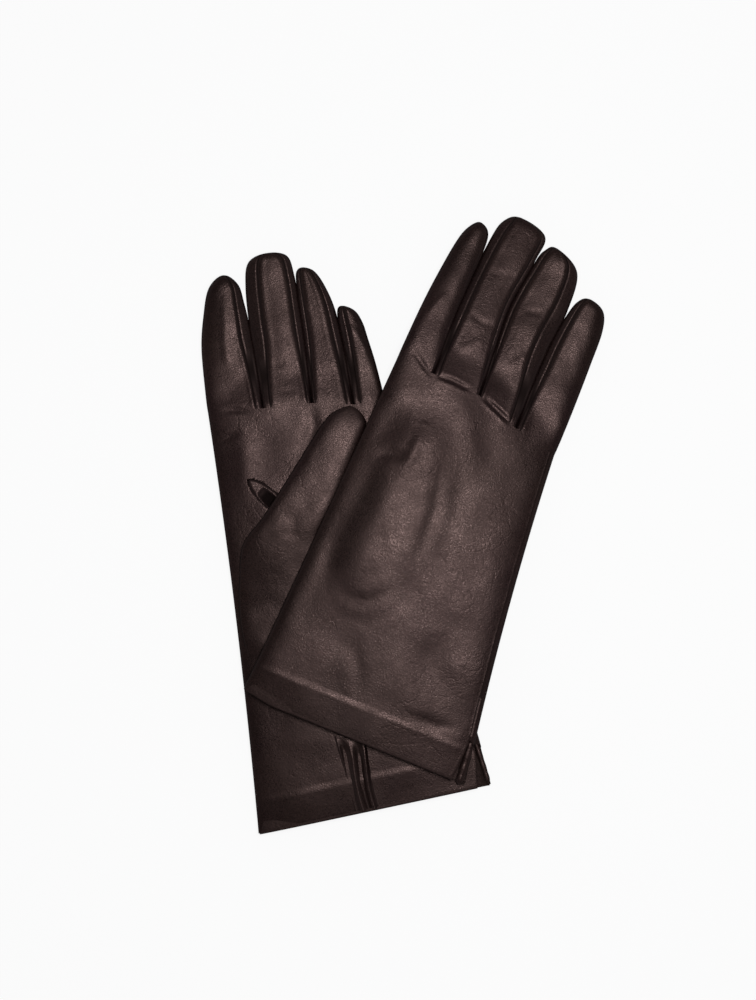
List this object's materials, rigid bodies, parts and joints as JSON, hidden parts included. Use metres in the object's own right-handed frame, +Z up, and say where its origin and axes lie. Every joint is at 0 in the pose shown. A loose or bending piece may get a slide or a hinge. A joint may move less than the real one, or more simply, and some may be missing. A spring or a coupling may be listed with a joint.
{
  "type": "pair of leather dress gloves",
  "caption": "Pair of smooth dark brown leather dress gloves laid flat, one palm up and one back up across it, with sewn fingers, folded thumbs and vented cuffs.",
  "frame": {"origin": "centre of the pair on the table", "axes": "+Z up from the table, +Y towards the fingertips, +X to the viewer's right"},
  "size_m": [0.1823, 0.2767, 0.0249],
  "materials": {
    "glove_leather": "smooth semi-matte grain leather",
    "fourchette_leather": "smooth semi-matte grain leather",
    "facing_leather": "turned-in grain leather"
  },
  "bodies": {
    "left_hand": {"left_trank": "glove_leather", "left_hem_facing": "facing_leather", "left_side_vent_welt": "glove_leather", "left_palm_gusset": "fourchette_leather", "left_thumb_gore": "glove_leather", "left_thumb_quirk": "fourchette_leather"},
    "left_thumb": {"left_thumb_stall": "glove_leather"},
    "left_index": {"left_index_wrap": "glove_leather", "left_index_fourchette": "fourchette_leather"},
    "left_middle": {"left_middle_back": "glove_leather", "left_middle_palm": "glove_leather", "left_middle_index_fourchette": "fourchette_leather", "left_middle_ring_fourchette": "fourchette_leather"},
    "left_ring": {"left_ring_back": "glove_leather", "left_ring_palm": "glove_leather", "left_ring_middle_fourchette": "fourchette_leather", "left_ring_little_fourchette": "fourchette_leather"},
    "left_little": {"left_little_back": "glove_leather", "left_little_palm": "glove_leather", "left_little_fourchette": "fourchette_leather"},
    "right_hand": {"right_trank": "glove_leather", "right_hem_facing": "facing_leather", "right_side_vent_welt": "glove_leather", "right_palm_gusset": "fourchette_leather", "right_thumb_gore": "glove_leather", "right_thumb_quirk": "fourchette_leather"},
    "right_thumb": {"right_thumb_stall": "glove_leather"},
    "right_index": {"right_index_wrap": "glove_leather", "right_index_fourchette": "fourchette_leather"},
    "right_middle": {"right_middle_back": "glove_leather", "right_middle_palm": "glove_leather", "right_middle_index_fourchette": "fourchette_leather", "right_middle_ring_fourchette": "fourchette_leather"},
    "right_ring": {"right_ring_back": "glove_leather", "right_ring_palm": "glove_leather", "right_ring_middle_fourchette": "fourchette_leather", "right_ring_little_fourchette": "fourchette_leather"},
    "right_little": {"right_little_back": "glove_leather", "right_little_palm": "glove_leather", "right_little_fourchette": "fourchette_leather"}
  },
  "joints": [
    {"name": "right_glove_lift", "type": "slide", "parent": "left_hand", "child": "right_hand", "axis": [0, 0, 1], "range_m": [0, 0.12]},
    {"name": "left_index_bend", "type": "hinge", "parent": "left_hand", "child": "left_index", "pos_m": [-0.07503, 0.05046, 0.0087], "axis": [0.9934, 0.1149, 0], "range_deg": [0, 80]},
    {"name": "left_middle_bend", "type": "hinge", "parent": "left_hand", "child": "left_middle", "pos_m": [-0.05128, 0.05318, 0.0087], "axis": [0.9869, 0.1616, 0], "range_deg": [0, 80]},
    {"name": "left_ring_bend", "type": "hinge", "parent": "left_hand", "child": "left_ring", "pos_m": [-0.03056, 0.05271, 0.0087], "axis": [0.9836, 0.1805, 0], "range_deg": [0, 80]},
    {"name": "left_little_bend", "type": "hinge", "parent": "left_hand", "child": "left_little", "pos_m": [-0.01446, 0.05467, 0.0087], "axis": [0.9728, 0.2317, 0], "range_deg": [0, 80]},
    {"name": "right_index_bend", "type": "hinge", "parent": "right_hand", "child": "right_index", "pos_m": [0.00604, 0.07164, 0.01681], "axis": [0.9114, -0.4115, 0], "range_deg": [0, 60]},
    {"name": "right_middle_bend", "type": "hinge", "parent": "right_hand", "child": "right_middle", "pos_m": [0.02413, 0.0625, 0.01428], "axis": [0.9191, -0.3939, 0], "range_deg": [0, 60]},
    {"name": "right_ring_bend", "type": "hinge", "parent": "right_hand", "child": "right_ring", "pos_m": [0.04163, 0.04786, 0.01018], "axis": [0.9164, -0.4003, 0], "range_deg": [0, 60]},
    {"name": "right_little_bend", "type": "hinge", "parent": "right_hand", "child": "right_little", "pos_m": [0.05888, 0.03514, 0.0092], "axis": [0.9259, -0.3778, 0], "range_deg": [0, 60]},
    {"name": "left_thumb_open", "type": "hinge", "parent": "left_hand", "child": "left_thumb", "pos_m": [-0.07833, -0.00801, 0.00885], "axis": [0.2079, -0.9781, 0], "range_deg": [0, 150]},
    {"name": "right_thumb_open", "type": "hinge", "parent": "right_hand", "child": "right_thumb", "pos_m": [-0.02862, -0.00325, 0.01625], "axis": [0.3778, 0.9259, 0], "range_deg": [0, 60]}
  ],
  "couplings": [
    {"joint": "right_thumb_open", "follows": "right_glove_lift", "rad_per_m": 8.7121}
  ]
}
